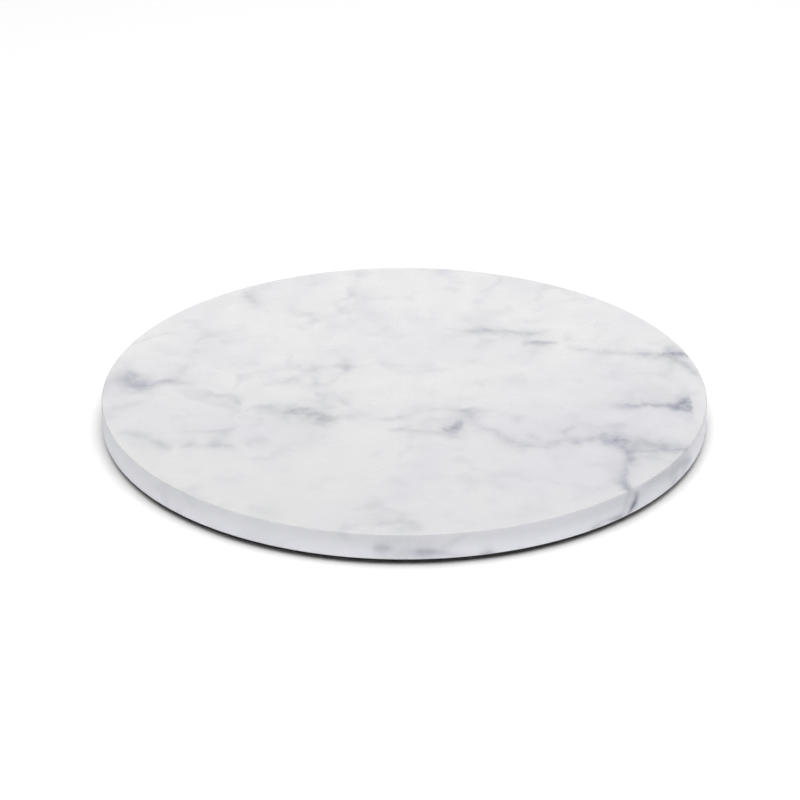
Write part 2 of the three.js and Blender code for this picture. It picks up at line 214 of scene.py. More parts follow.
# The same on the rim, with the millimetres round it from the middle of the front, and the height, as x and y.
# The last row is painted shade, not a vein.
RIM_VEINS_AND_PAINTED_SHADE = (
    ((-24, 9, 1.6, 0), (-16, 9, 1.6, 0.06), (-10, 8.8, 1.9, 0.42), (-3, 8, 1.6, 0.12), (2, 7.6, 1.6, 0.15),
     (9, 7, 1.9, 0.5), (16, 6.2, 1.5, 0.3), (22, 5, 1.2, 0.2), (32, 4, 1, 0.06), (38.5, 3.6, 1.3, 0.45),
     (43, 3.6, 1, 0.06), (50, 3.6, 1, 0)),
    ((82, 3.6, 0.9, 0), (90, 3.8, 0.9, 0.06), (95, 4.6, 1, 0.38), (99, 5.4, 0.9, 0.2), (104, 4.8, 1, 0.4),
     (109, 4.4, 1.1, 0.55), (114, 4.6, 1, 0.08), (121, 5, 1, 0)),
    ((115.5, 3, 0.8, 0), (117, 4.6, 1, 0.8), (119.3, 7.2, 1.6, 1.0), (121.2, 10, 1.5, 0.75),
     (121.6, 12.5, 2, 0.42), (119.5, 15.6, 2.4, 0)),
    ((124, 15, 2, 0), (132, 14, 2.4, 0.14), (140, 13.6, 2.6, 0.2), (150, 11, 3.2, 0.24),
     (160, 11.6, 3.4, 0.36), (170, 8.6, 2.4, 0.36), (177, 7, 2, 0)),
    ((151, 4.6, 0.8, 0), (155, 5.6, 0.9, 0.3), (159, 7, 0.8, 0)),
    # Not a vein: painted shade, a faint dark band along the upper part of the rim, darker towards the right.
    ((-60, 14, 3, 0), (-20, 13, 3, 0.07), (30, 13, 3, 0.08), (80, 12, 4, 0.12), (120, 13, 4, 0.18),
     (170, 13, 3, 0)),
)


def srgb(red, green, blue):
    """Linear colour from the usual 0 to 255 values."""
    def linear(value):
        value /= 255
        return value / 12.92 if value <= 0.04045 else ((value + 0.055) / 1.055) ** 2.4

    return linear(red), linear(green), linear(blue), 1


# ---------------------------------------------------------------- meshes


def mesh_object(name, mesh):
    """An object in the scene that shows the mesh."""
    made = bpy.data.objects.new(name, mesh)
    bpy.context.scene.collection.objects.link(made)
    return made


def arc(x, z, radius, start, end, steps):
    """Points of an arc about (x, z), with its angles in degrees and both ends included."""
    turns = [math.radians(start + (end - start) * i / steps) for i in range(steps + 1)]
    return [(x + radius * math.cos(turn), z + radius * math.sin(turn)) for turn in turns]


def softened(profile, reach, steps=3, shallow=30, side_share=0.4):
    """A closed profile with its corners rounded off over the given reach.

    A corner that turns by less than the shallow angle stays, and a rounding takes no more than the given
    share of the sides beside it.
    """
    corners = [Vector(corner) for corner in profile]
    rounded = []
    for before, corner, after in zip([corners[-1]] + corners, corners, corners[1:] + corners[:1]):
        back, on = before - corner, after - corner
        if math.degrees(back.angle(on)) > 180 - shallow:
            rounded.append(tuple(corner))
            continue
        start = corner + back.normalized() * min(reach, back.length * side_share)
        end = corner + on.normalized() * min(reach, on.length * side_share)
        for i in range(steps + 1):
            t = i / steps
            spot = start * (1 - t) ** 2 + corner * 2 * t * (1 - t) + end * t ** 2
            rounded.append(tuple(spot))
    return rounded


def turned(name, profile, segments, closed=False, sharp=35):
    """A body of revolution. The profile is a list of (radius, height), anticlockwise.

    A radius may be a function of the angle.
    """
    build = bmesh.new()
    turns = [2 * math.pi * i / segments for i in range(segments)]
    columns = []
    for radius, height in profile:
        if radius == 0:
            columns.append([build.verts.new((0, 0, height))] * segments)
            continue
        reaches = [radius(turn) if callable(radius) else radius for turn in turns]
        flat = [(reach * math.cos(turn), reach * math.sin(turn)) for reach, turn in zip(reaches, turns)]
        columns.append([build.verts.new((x, y, height)) for x, y in flat])
    pairs = list(zip(columns, columns[1:]))
    if closed:
        pairs.append((columns[-1], columns[0]))
    for near, far in pairs:
        for i in range(segments):
            j = (i + 1) % segments
            corners = [near[i], near[j], far[j], far[i]]
            build.faces.new(list(dict.fromkeys(corners)))
    bmesh.ops.recalc_face_normals(build, faces=build.faces)
    mesh = bpy.data.meshes.new(name)
    build.to_mesh(mesh)
    build.free()
    return smoothed(mesh_object(name, mesh), sharp)


def smoothed(made, sharp=35):
    """Smooth shading, but for edges sharper than the given angle."""
    made.data.shade_smooth()
    made.data.set_sharp_from_angle(angle=math.radians(sharp))
    return made


def even_normals(made):
    """Lets the large flat faces lead the shading of the small rounded edges beside them."""
    made.modifiers.new("normals", "WEIGHTED_NORMAL").keep_sharp = True
    return made


def prism(name, outline, low, high, top_scale=1.0):
    """An upright prism over an outline of (x, y) points, which may taper towards its top."""
    build = bmesh.new()
    bottom = [build.verts.new((x, y, low)) for x, y in outline]
    top = [build.verts.new((x * top_scale, y * top_scale, high)) for x, y in outline]
    build.faces.new(bottom)
    build.faces.new(top)
    for i in range(len(outline)):
        j = (i + 1) % len(outline)
        build.faces.new((bottom[i], bottom[j], top[j], top[i]))
    bmesh.ops.recalc_face_normals(build, faces=build.faces)
    mesh = bpy.data.meshes.new(name)
    build.to_mesh(mesh)
    build.free()
    return mesh_object(name, mesh)


def circle(radius, segments):
    """Points of a circle about the origin."""
    turns = [2 * math.pi * i / segments for i in range(segments)]
    return [(radius * math.cos(turn), radius * math.sin(turn)) for turn in turns]


def placed(made, matrix):
    """Moves a mesh's own points, so that its object stays at the origin."""
    made.data.transform(matrix)
    return made


def radial_matrix(inner, angle, height):
    """Lays something that stands on the XY plane out along a radius of the bearing."""
    outwards = Matrix.Translation((inner, 0, height)) @ Matrix.Rotation(math.radians(90), 4, "Y")
    return Matrix.Rotation(angle, 4, "Z") @ outwards


def cut(made, cutters, sharp=35):
    """Takes the cutters out of a piece for good."""
    for cutter in cutters:
        taking = made.modifiers.new("cut", "BOOLEAN")
        taking.operation = "DIFFERENCE"
        taking.solver = "EXACT"
        taking.object = cutter
    bpy.context.view_layer.update()
    finished = bpy.data.meshes.new_from_object(made.evaluated_get(bpy.context.evaluated_depsgraph_get()))
    made.modifiers.clear()
    made.data = finished
    for cutter in cutters:
        bpy.data.objects.remove(cutter)
    return smoothed(made, sharp)


def thread(radius, depth, pitch, low, high, rows_per_turn=6):
    """Profile rows of a screw thread between two heights. It runs out to nothing at both ends."""
    rows = []
    count = max(4, round((high - low) / pitch * rows_per_turn))
    for i in range(count + 1):
        share = i / count
        height = low + (high - low) * share
        full = min(1, share * count / rows_per_turn, (1 - share) * count / rows_per_turn)

        def reach(turn, height=height, full=full):
            phase = (height / pitch - turn / (2 * math.pi)) % 1
            return radius - depth * full * abs(2 * phase - 1)

        rows.append((reach, height))
    return rows


# ---------------------------------------------------------------- materials


class Shader:
    """One node material, built by plain calls. Every call gives back an output socket."""

    def __init__(self, name, **uniform):
        self.material = bpy.data.materials.new(name)
        self.material.use_nodes = True
        self.tree = self.material.node_tree
        self.principled = self.tree.nodes["Principled BSDF"]
        for socket, value in uniform.items():
            self.principled.inputs[socket.replace("_", " ")].default_value = value

    def node(self, kind, inputs=(), **settings):
        made = self.tree.nodes.new(kind)
        for key, value in settings.items():
            setattr(made, key, value)
        for socket, value in dict(inputs).items():
            self.feed(made.inputs[socket], value)
        return made

    def feed(self, socket, value):
        if isinstance(value, bpy.types.NodeSocket):
            self.tree.links.new(value, socket)
        else:
            socket.default_value = value

    def math(self, operation, *values, clamp=False):
        inputs = enumerate(values)
        return self.node("ShaderNodeMath", inputs, operation=operation, use_clamp=clamp).outputs[0]

    def vector(self, operation, *values, output=0):
        inputs = dict(enumerate(values))
        if operation == "SCALE":
            inputs = {0: values[0], "Scale": values[1]}
        return self.node("ShaderNodeVectorMath", inputs, operation=operation).outputs[output]

    def dot(self, place, direction):
        return self.vector("DOT_PRODUCT", place, tuple(direction), output="Value")

    def parts(self, place):
        return self.node("ShaderNodeSeparateXYZ", {0: place}).outputs

    def joined(self, x, y, z):
        return self.node("ShaderNodeCombineXYZ", {0: x, 1: y, 2: z}).outputs[0]

    def noise(self, place, size, detail=2.0, roughness=0.5, colour=False):
        """Noise with features of about the given size, in the units of place. Its mean is 0.5."""
        inputs = {"Vector": place, "Scale": 1 / size, "Detail": detail, "Roughness": roughness}
        made = self.node("ShaderNodeTexNoise", inputs)
        return made.outputs["Color" if colour else "Fac"]

    def wander(self, place, size, reach):
        """The place, pushed about by noise of the given size."""
        push = self.vector("SUBTRACT", self.noise(place, size, 2, colour=True), (0.5, 0.5, 0.5))
        return self.vector("ADD", place, self.vector("SCALE", push, reach))

    def spread(self, value, low, high, to_low=0.0, to_high=1.0):
        """Maps low..high to to_low..to_high, smoothly, and holds the ends."""
        inputs = {"Value": value, "From Min": low, "From Max": high, "To Min": to_low, "To Max": to_high}
        return self.node("ShaderNodeMapRange", inputs, interpolation_type="SMOOTHSTEP").outputs[0]

    def mix(self, share, first, second, blend="MIX"):
        made = self.node("ShaderNodeMix", data_type="RGBA", blend_type=blend)
        self.feed(made.inputs["Factor"], share)
        self.feed(made.inputs[6], first)
        self.feed(made.inputs[7], second)
        return made.outputs[2]

    def curve(self, value, points):
        """A smooth curve through (in, out) points, both from 0 to 1. It holds its ends."""
        made = self.node("ShaderNodeFloatCurve", {"Value": value})
        line = made.mapping.curves[0]
        for _ in points[2:]:
            line.points.new(0.5, 0.5)
        for spot, (x, y) in zip(line.points, points):
            spot.location = (x, y)
        made.mapping.extend = "HORIZONTAL"
        made.mapping.update()
        return made.outputs[0]

    def bump(self, height, distance, strength=1.0):
        inputs = {"Height": height, "Distance": distance, "Strength": strength}
        return self.node("ShaderNodeBump", inputs).outputs[0]

    def set(self, **linked):
        for socket, value in linked.items():
            self.feed(self.principled.inputs[socket.replace("_", " ")], value)
        return self.material


def object_place(shader):
    """Where a point is on its piece, in millimetres, so that a pattern turns with the piece."""
    place = shader.node("ShaderNodeTexCoord").outputs["Object"]
    return shader.vector("SCALE", place, 1 / MM)


MESH_STEP = 5  # millimetres between the strands of the glass mesh
TOOL_STEP = 5  # millimetres between the cutter's marks in the pocket
CRYSTAL_SIZE = 0.8  # millimetres
WIDEST_VEIN = 50  # millimetres; the widths that a vein's curve gives are shares of this
VEIN_SPREAD = 1.25  # how much wider than its row says a vein is drawn, because its edges are so soft
VEIN_FALLOFF = -1.25  # the power by which a vein thins out to either side
VEIN_SHARE_ON_RIM = 0.35  # how much of the top's blue-grey veins shows on the rim, which has marks of its own
VEIN_DIP = (0.35, 0.2, 0)  # how far the pattern moves sideways for each millimetre down

STONE_WHITE = srgb(213, 213, 213)
# Painted shade: the stone's white made darker towards the near side of the top.
STONE_PAINTED_NEAR_SHADE = srgb(203, 203, 203)
STONE_LAVENDER = srgb(198, 197, 204)
STONE_SHADE = srgb(189, 189, 196)
# Painted light: the colour that the rim is lightened towards, not a colour of the stone.
RIM_PAINTED_LIGHT = srgb(244, 245, 252)
VEIN_BLUE_GREY = srgb(126, 129, 144)
VEIN_GREEN_GREY = srgb(140, 147, 148)


def vein(shader, place, points):
    """How much of a vein there is at a place, from 0 to 1.

    The place is taken along and across the straight line between the vein's ends. Three curves along that
    line say how far the vein bends off it, how wide it is there, and how dark.
    """
    start, end = Vector(points[0][:2]), Vector(points[-1][:2])
    line = end - start
    length = line.length
    along = line.to_3d() / length ** 2
    across = Vector((-along.y, along.x, 0))
    start = start.to_3d()
    shares = [(Vector((x, y, 0)) - start).dot(along) for x, y, _, _ in points]
    bends = [(Vector((x, y, 0)) - start).dot(across) for x, y, _, _ in points]
    share = shader.math("SUBTRACT", shader.dot(place, along), start.dot(along))
    aside = shader.math("SUBTRACT", shader.dot(place, across), start.dot(across) - 0.5)
    bend = shader.curve(share, [(at, 0.5 + bend) for at, bend in zip(shares, bends)])
    widths = [VEIN_SPREAD * half_width / WIDEST_VEIN for _, _, half_width, _ in points]
    width = shader.curve(share, list(zip(shares, widths)))
    darkness = shader.curve(share, [(at, dark) for at, (_, _, _, dark) in zip(shares, points)])
    gap = shader.math("MULTIPLY", shader.math("SUBTRACT", aside, bend), length / WIDEST_VEIN)
    steps = shader.math("DIVIDE", gap, width)
    fade = shader.math("POWER", shader.math("MULTIPLY_ADD", steps, steps, 1.0), VEIN_FALLOFF)
    return shader.math("MULTIPLY", fade, darkness)


def veins_together(shader, place, rows):
    """How much there is of the veins in all, from 0 where the stone is clear to 1 in the darkest vein."""
    clear = 1.0
    for row in rows:
        left = shader.math("SUBTRACT", 1.0, vein(shader, place, row))
        clear = shader.math("MULTIPLY", clear, left)
    return shader.math("SUBTRACT", 1.0, clear)


def reach_of(shader, place):
    """How far a place is from the axis that the slab turns on."""
    x, y, _ = shader.parts(place)
    squares = [shader.math("MULTIPLY", way, way) for way in (x, y)]
    return shader.math("SQRT", shader.math("ADD", *squares))


def rim_share(shader, place):
    """0 on the top face, and 1 on the rim."""
    rim_start = SLAB_RADIUS - 0.3 * TOP_EDGE_RADIUS
    return shader.spread(reach_of(shader, place), rim_start / MM, SLAB_RADIUS / MM)


def stone_ground(shader, y, dipped, drifting):
    """The stone between the veins: white, with lavender clouds and a shaded mottling.

    It gets a little whiter from the near side of the slab to the far side: painted light, standing for the
    far part of the top catching more light.
    """
    # Painted light: the top is darker on its near side and whiter on its far side.
    white = shader.mix(shader.spread(y, -SLAB_RADIUS / MM, SLAB_RADIUS / MM), STONE_PAINTED_NEAR_SHADE, STONE_WHITE)
    haze = shader.spread(shader.noise(dipped, 55, 3), 0.35, 0.7, 0.0, 0.4)
    clouds = shader.math("MAXIMUM", veins_together(shader, drifting, LAVENDER_CLOUDS), haze)
    mottling = shader.spread(shader.noise(drifting, 17, 4, 0.6), 0.5, 0.72, 0.0, 0.45)
    return shader.mix(mottling, shader.mix(clouds, white, STONE_LAVENDER), STONE_SHADE)


def wisps(shader, dipped, frayed):
    """Faint lines that wander through parts of the stone, from 0 to their full strength."""
    ridge = shader.math("ABSOLUTE", shader.math("SUBTRACT", shader.noise(frayed, 48, 2, 0.5), 0.5))
    line = shader.spread(ridge, 0.0, 0.05, 0.12, 0.0)
    where = shader.spread(shader.noise(dipped, 40, 2), 0.48, 0.62)
    return shader.math("MULTIPLY", line, where)


def rim_marks_and_painted_shade(shader, x, y, z):
    """How much there is of the rim's own marks and of a painted shade along its upper part, laid out on the
    rim as if it were unrolled.
    """
    turn = shader.math("ARCTAN2", x, shader.math("MULTIPLY", y, -1.0))
    around = shader.math("MULTIPLY", turn, SLAB_RADIUS / MM)
    frayed = shader.wander(shader.wander(shader.joined(around, z, 0), 9, 2.4), 2, 1.2)
    return veins_together(shader, frayed, RIM_VEINS_AND_PAINTED_SHADE)


def stone_colour(shader, place):
    """White marble with blue-grey and green-grey veins that run down into the slab."""
    x, y, z = shader.parts(place)
    rim = rim_share(shader, place)
    depth = shader.math("SUBTRACT", SLAB_TOP / MM, z)
    dipped = shader.vector("ADD", place, shader.vector("SCALE", VEIN_DIP, depth))
    drifting = shader.wander(dipped, 30, 7)
    frayed = shader.wander(shader.wander(drifting, 9, 3.8), 2.6, 1.8)

    colour = stone_ground(shader, y, dipped, drifting)
    # Painted light on the rim: it is whitened all over, and more towards its lower edge, as if lit from the
    # floor.
    bloom = shader.spread(z, SLAB_LOW.z / MM, SLAB_TOP / MM, 0.85, 0.5)
    colour = shader.mix(shader.math("MULTIPLY", rim, bloom), colour, RIM_PAINTED_LIGHT)

    patches = shader.spread(shader.noise(frayed, 7, 4, 0.6), 0.34, 0.66, 0.62, 1.3)
    green = veins_together(shader, frayed, GREEN_GREY_VEINS)
    green = shader.math("MULTIPLY", green, patches, clamp=True)
    blue = veins_together(shader, frayed, BLUE_GREY_VEINS)
    blue = shader.math("MULTIPLY", blue, patches, clamp=True)
    blue = shader.math("MULTIPLY", blue, shader.spread(rim, 0.0, 1.0, 1.0, VEIN_SHARE_ON_RIM))
    # The rim's own veins, and the painted shade along its upper part.
    marks = shader.math("MULTIPLY", rim_marks_and_painted_shade(shader, x, y, z), rim)
    colour = shader.mix(green, colour, VEIN_GREEN_GREY)
    for share in (blue, wisps(shader, dipped, frayed), marks):
        colour = shader.mix(share, colour, VEIN_BLUE_GREY)

    crystals = shader.node("ShaderNodeTexVoronoi", {"Vector": place, "Scale": 1 / CRYSTAL_SIZE})
    sparkle = shader.spread(shader.parts(crystals.outputs["Color"])[0], 0.0, 1.0, 0.0, 0.03)
    return shader.mix(sparkle, colour, STONE_LAVENDER, blend="MULTIPLY")


def polished_marble():
    """The top and the rim. The rim is honed, not polished, and so rougher; its colour is lightened with
    painted light, most of all towards its lower edge.
    """
    shader = Shader("marble", Specular_IOR_Level=0.5)
    place = object_place(shader)
    colour = stone_colour(shader, place)
    rim = rim_share(shader, place)
    haze = shader.noise(place, 14, 3)
    roughness = shader.spread(haze, 0.3, 0.7, 0.26, 0.36)
    roughness = shader.math("MULTIPLY_ADD", rim, 0.22, roughness)
    grain = shader.noise(place, 0.5, 3, 0.6)
    return shader.set(Base_Color=colour, Roughness=roughness, Normal=shader.bump(grain, 0.004 * MM, 0.2))


def resin_backing():
    """The underside: a resin coat over a woven glass mesh, which keeps a thin slab from cracking. Its dark
    colour is partly a stand-in for shade: it keeps the gap under the slab's edge near black.
    """
    shader = Shader("resin_backing", Specular_IOR_Level=0.4)
    place = object_place(shader)
    x, y, _ = shader.parts(shader.wander(place, 20, 1.2))
    strands = [shader.math("PINGPONG", way, MESH_STEP / 2) for way in (x, y)]
    strand = shader.math("MINIMUM", *strands)
    weave = shader.spread(strand, 0.25, 0.75, 1.0, 0.0)
    flow = shader.noise(place, 9, 4, 0.6)
    pits = shader.spread(shader.noise(place, 0.9, 3, 0.6), 0.62, 0.72)
    # Dark partly as a stand-in for shade, to keep the gap under the slab's edge near black.
    colour = shader.mix(shader.spread(flow, 0.3, 0.7), srgb(62, 62, 61), srgb(74, 73, 70))
    colour = shader.mix(shader.math("MULTIPLY", weave, 0.3), colour, srgb(112, 110, 104))
    colour = shader.mix(shader.math("MULTIPLY", pits, 0.5), colour, srgb(38, 38, 38))
    roughness = shader.spread(flow, 0.3, 0.7, 0.42, 0.62)
    height = shader.math("MULTIPLY_ADD", weave, 0.7, shader.math("MULTIPLY", pits, -0.6))
    return shader.set(Base_Color=colour, Roughness=roughness, Normal=shader.bump(height, 0.12 * MM, 0.7))


def milled_marble():
    """The pocket: round tool marks, evenly spaced, left by the cutter that made it."""
    shader = Shader("marble_milled")
    place = object_place(shader)
    reach = reach_of(shader, shader.wander(place, 12, 0.8))
    sweep = shader.math("PINGPONG", reach, TOOL_STEP / 2)
    grain = shader.noise(place, 0.5, 4, 0.7)
    dulled = shader.spread(sweep, 0.0, TOOL_STEP / 2, 0.0, 0.1)
    colour = shader.mix(dulled, stone_colour(shader, place), srgb(160, 159, 157))
    height = shader.math("ADD", shader.math("MULTIPLY", sweep, 0.6), grain)
    roughness = shader.spread(grain, 0.3, 0.7, 0.7, 0.86)
    return shader.set(Base_Color=colour, Roughness=roughness, Normal=shader.bump(height, 0.06 * MM, 0.6))


# ---------------------------------------------------------------- pieces


def marble_slab():
    """The slab, with fine rounded edges and the round pocket in its underside."""
    bottom = SLAB_LOW.z
    pocket_radius = OUTER_HIGH.x + POCKET_CLEARANCE
    lower, upper = LOWER_EDGE_RADIUS, TOP_EDGE_RADIUS
    profile = [
        (0, POCKET_TOP),
        (pocket_radius, POCKET_TOP),
        (pocket_radius, bottom + POCKET_CHAMFER),
        (pocket_radius + POCKET_CHAMFER, bottom),
        *arc(SLAB_RADIUS - lower, bottom + lower, lower, -90, 0, 6),
        *arc(SLAB_RADIUS - upper, SLAB_TOP - upper, upper, 0, 90, 6),
        (0, SLAB_TOP),
    ]
    slab = turned("marble_slab", profile, 256)
    for material in (polished_marble(), resin_backing(), milled_marble()):
        slab.data.materials.append(material)
    backing, milled = 1, 2
    for face in slab.data.polygons:
        reach = math.hypot(face.center.x, face.center.y)
        if face.center.z < SLAB_TOP - upper and reach < pocket_radius + POCKET_CHAMFER / 4:
            face.material_index = milled
        elif face.normal.z < -0.99:
            face.material_index = backing
    even_normals(slab)
    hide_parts("marble_top")
    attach(slab, "turntable")


def add_piece(made, slot, body, *nodes, material):
    """Gives a piece its material, hides the frame's parts that it takes the place of, and hangs it on the
    body that it moves with.
    """
    made.data.materials.clear()
    made.data.materials.append(material)
    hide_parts(*nodes)
    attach(made, body)
    return made


def turned_metal():
    """Aluminium as it leaves the lathe: fine round tool marks, a soft oxide haze and a few handling marks."""
    shader = Shader("turned_aluminium", Metallic=1.0)
    place = object_place(shader)
    reach, z = reach_of(shader, place), shader.parts(place)[2]
    marks = shader.noise(shader.joined(reach, z, 0), 0.09, 3, 0.6)
    chatter = shader.noise(shader.joined(reach, z, 5), 0.9, 2)
    haze = shader.noise(place, 11, 4, 0.6)
    smudge = shader.spread(shader.noise(place, 24, 3, 0.65), 0.55, 0.72)
    colour = shader.mix(shader.spread(haze, 0.3, 0.7), srgb(205, 206, 208), srgb(190, 191, 194))
    colour = shader.mix(shader.math("MULTIPLY", smudge, 0.35), colour, srgb(166, 166, 168))
    roughness = shader.spread(marks, 0.3, 0.7, 0.24, 0.4)
    roughness = shader.math("MULTIPLY_ADD", smudge, 0.12, roughness)
    height = shader.math("MULTIPLY_ADD", chatter, 0.8, marks)
    return shader.set(Base_Color=colour, Roughness=roughness, Normal=shader.bump(height, 0.02 * MM, 0.5))


def ball_steel():
    """Lapped bearing steel: a near mirror, with faint rolling scuffs and a trace of grease."""
    shader = Shader("ball_steel", Metallic=1.0)
    place = object_place(shader)
    grease = shader.spread(shader.noise(place, 2.2, 3), 0.45, 0.65)
    scuffs = shader.noise(shader.wander(place, 0.8, 0.6), 0.16, 3, 0.7)
    colour = shader.mix(shader.math("MULTIPLY", grease, 0.25), srgb(205, 207, 210), srgb(176, 172, 160))
    roughness = shader.spread(scuffs, 0.35, 0.75, 0.07, 0.15)
    roughness = shader.math("MULTIPLY_ADD", grease, 0.12, roughness)
    return shader.set(Base_Color=colour, Roughness=roughness, Normal=shader.bump(scuffs, 0.003 * MM, 0.4))


def zinc_steel():
    """Screws plated with zinc: a cool grey with a faint yellow bloom and a pebbled skin."""
    shader = Shader("zinc_steel", Metallic=1.0)
    place = object_place(shader)
    bloom = shader.spread(shader.noise(place, 1.6, 4, 0.6), 0.4, 0.68)
    pebble = shader.noise(place, 0.12, 3, 0.6)
    colour = shader.mix(bloom, srgb(178, 181, 186), srgb(190, 186, 168))
    roughness = shader.spread(pebble, 0.3, 0.7, 0.3, 0.48)
    return shader.set(Base_Color=colour, Roughness=roughness, Normal=shader.bump(pebble, 0.01 * MM, 0.5))


def moulded_rubber():
    """Black rubber from a spark-eroded mould, greyed a little by dust where it is handled."""
    shader = Shader("moulded_rubber", Specular_IOR_Level=0.35)
    place = object_place(shader)
    pits = shader.noise(place, 0.22, 3, 0.65)
    dust = shader.spread(shader.noise(place, 3.2, 4, 0.65), 0.42, 0.72)
    colour = shader.mix(dust, srgb(30, 30, 31), srgb(52, 51, 50))
    roughness = shader.spread(pits, 0.3, 0.7, 0.7, 0.92)
    return shader.set(Base_Color=colour, Roughness=roughness, Normal=shader.bump(pits, 0.05 * MM, 0.7))


def moulded_nylon():
    """Off-white nylon, a little see-through, with the swirl that its melt leaves."""
    shader = Shader("moulded_nylon", Subsurface_Weight=0.15, Subsurface_Scale=0.4 * MM)
    place = object_place(shader)
    swirl = shader.noise(shader.wander(place, 3, 4), 2.4, 3, 0.6)
    skin = shader.noise(place, 0.18, 3, 0.6)
    colour = shader.mix(shader.spread(swirl, 0.35, 0.65), srgb(236, 233, 224), srgb(222, 217, 203))
    roughness = shader.spread(skin, 0.3, 0.7, 0.38, 0.55)
    return shader.set(Base_Color=colour, Roughness=roughness, Normal=shader.bump(skin, 0.012 * MM, 0.5))


def cured_adhesive():
    """A grey-white bead that skinned over as it cured, with small dents and trapped dust."""
    shader = Shader("cured_adhesive")
    place = object_place(shader)
    mottling = shader.noise(place, 4, 4, 0.6)
    dents = shader.noise(place, 0.7, 3, 0.6)
    dust = shader.spread(shader.noise(place, 0.3, 2), 0.66, 0.74)
    colour = shader.mix(shader.spread(mottling, 0.35, 0.65), srgb(196, 194, 184), srgb(178, 175, 163))
    colour = shader.mix(shader.math("MULTIPLY", dust, 0.4), colour, srgb(118, 114, 104))
    roughness = shader.spread(dents, 0.3, 0.7, 0.36, 0.58)
    return shader.set(Base_Color=colour, Roughness=roughness, Normal=shader.bump(dents, 0.12 * MM, 0.6))


def bond_bead():
    """The adhesive, squeezed out a little past the ring's flat by the weight of the stone."""
    low, high = BOND_LOW.z, BOND_HIGH.z
    middle = (low + high) / 2

    def wavy(radius, squeeze, seed):
        def reach(turn):
            around = Vector((math.cos(turn), math.sin(turn), seed))
            wave = noise.noise(around * 6) + 0.5 * noise.noise(around * 19)
            return radius + squeeze * (1 + 0.7 * wave)
        return reach

    inner, outer = BOND_HIGH.x - INNER_RING_WIDTH + 2 * BOND_INSET, BOND_HIGH.x
    squeeze, bulge = 0.22 * MM, 0.12 * MM
    outside, inside = wavy(outer, squeeze, 3), wavy(inner, -squeeze, 8)
    profile = [
        (inner, low), (outer, low), (outside, middle - bulge), (outside, middle + bulge),
        (outer, high), (inner, high), (inside, middle + bulge), (inside, middle - bulge),
    ]
    bead = turned("bond_bead", profile, 240, closed=True, sharp=80)
    add_piece(bead, "adhesive", "turntable", "bond_ring", material=cured_adhesive())


def groove(side):
    """The ball groove's arc in the face of a ring: side is 1 for the outer ring and -1 for the inner."""
    mouth = math.degrees(math.acos(RACE_HALF_SPACE / GROOVE_RADIUS))
    start, end = (mouth, -mouth) if side > 0 else (180 + mouth, 180 - mouth)
    return arc(PITCH_RADIUS, BALL_MIDDLE.z, GROOVE_RADIUS, start, end, 14)


def inner_ring():
    """The ring that is bonded to the slab and turns with it."""
    inner, outer = INNER_HIGH.x - INNER_RING_WIDTH, INNER_HIGH.x
    low, high = INNER_LOW.z, INNER_HIGH.z
    bevel = RING_CHAMFER
    profile = [
        (inner + bevel, low), (outer - bevel / 2, low), (outer, low + bevel / 2), *groove(-1),
        (outer, high - bevel), (outer - bevel, high), (inner, high), (inner, low + bevel),
    ]
    ring = turned("inner_race_ring", softened(profile, RING_SOFTENING), RING_SEGMENTS, closed=True)
    add_piece(even_normals(ring), "aluminium", "turntable", "inner_ring", material=turned_metal())


def foot_places():
    """The angle and the place of each foot."""
    turns = [2 * math.pi * i / FOOT_COUNT for i in range(FOOT_COUNT)]
    return [(turn, (FOOT_CIRCLE * math.cos(turn), FOOT_CIRCLE * math.sin(turn), 0)) for turn in turns]


def outer_ring():
    """The fixed ring, with a seat and a blind hole for each foot and the hole the balls go in through."""
    inner, outer = PITCH_RADIUS + RACE_HALF_SPACE, OUTER_HIGH.x
    low, high = OUTER_LOW.z, OUTER_HIGH.z
    bevel = RING_CHAMFER
    profile = [
        (inner + bevel, low), (outer - bevel, low), (outer, low + bevel), (outer, high - bevel),
        (outer - bevel, high), (inner + bevel / 2, high), (inner, high - bevel / 2), *groove(1),
        (inner, low + bevel),
    ]
    ring = turned("outer_race_ring", softened(profile, RING_SOFTENING), RING_SEGMENTS, closed=True)
    lip = 0.15 * MM
    past = 1 * MM  # how far a cutter goes on beyond the face that it opens
    seat_top, hole_top = FOOT_HIGH.z, SCREW_HIGH.z + SCREW_HOLE_SPARE
    seat_circle, hole_circle = circle(FOOT_SEAT_RADIUS, 48), circle(SCREW_HOLE_RADIUS, 24)
    cutters = []
    for _, place in foot_places():
        mouth = prism("mouth", seat_circle, low + lip, low - lip, 1 + 2 * lip / FOOT_SEAT_RADIUS)
        seat = prism("seat", seat_circle, low - past, seat_top)
        hole = prism("hole", hole_circle, seat_top - past / 2, hole_top)
        cutters += [placed(cutter, Matrix.Translation(place)) for cutter in (mouth, seat, hole)]
    loading = prism("loading", circle(LOADING_HOLE_RADIUS, 48), 0, outer - PITCH_RADIUS + past)
    cutters.append(placed(loading, radial_matrix(PITCH_RADIUS, PLUG_TURN, BALL_MIDDLE.z)))
    add_piece(even_normals(cut(ring, cutters)), "aluminium", "base", "outer_ring", material=turned_metal())


